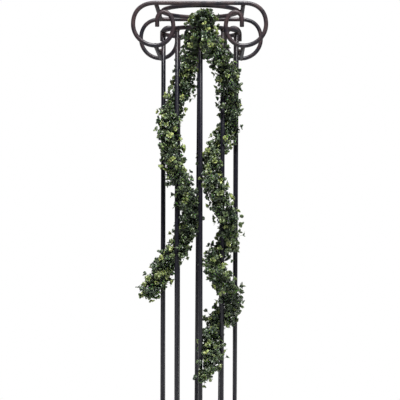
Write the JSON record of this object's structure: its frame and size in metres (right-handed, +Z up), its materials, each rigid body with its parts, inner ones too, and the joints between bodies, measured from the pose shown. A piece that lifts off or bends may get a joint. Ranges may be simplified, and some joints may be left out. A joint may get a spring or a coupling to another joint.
{
  "type": "garden column stand",
  "caption": "Open Ionic column in dark painted round steel bar, with scrolled volutes, rings and a square foot, and a boxwood garland wound through its bars.",
  "frame": {"origin": "on the ground, under the middle of the column", "axes": "+Z up along the column, +X to the right seen from the front, front face towards -Y"},
  "size_m": [0.3778, 0.309, 1.3],
  "materials": {
    "painted_steel": "satin",
    "glide_plastic": "matte",
    "garland_stem": "matte",
    "garland_leaf": "satin"
  },
  "bodies": {
    "root": {"front_volute_bar": "painted_steel", "rear_volute_bar": "painted_steel", "left_top_side_bar": "painted_steel", "right_top_side_bar": "painted_steel", "left_lower_side_bar": "painted_steel", "right_lower_side_bar": "painted_steel", "top_ring": "painted_steel", "neck_ring": "painted_steel", "collar_ring": "painted_steel", "foot_ring": "painted_steel", "right_front_strut": "painted_steel", "right_rear_strut": "painted_steel", "left_rear_strut": "painted_steel", "left_front_strut": "painted_steel", "shaft_bar_01": "painted_steel", "shaft_bar_02": "painted_steel", "shaft_bar_03": "painted_steel", "shaft_bar_04": "painted_steel", "shaft_bar_05": "painted_steel", "shaft_bar_06": "painted_steel", "shaft_bar_07": "painted_steel", "shaft_bar_08": "painted_steel", "shaft_bar_09": "painted_steel", "shaft_bar_10": "painted_steel", "foot_frame": "painted_steel", "front_foot_spoke": "painted_steel", "right_foot_spoke": "painted_steel", "rear_foot_spoke": "painted_steel", "left_foot_spoke": "painted_steel", "front_left_glide": "glide_plastic", "front_right_glide": "glide_plastic", "rear_right_glide": "glide_plastic", "rear_left_glide": "glide_plastic", "garland_left_stem": "garland_stem", "garland_right_stem": "garland_stem"}
  },
  "joints": []
}
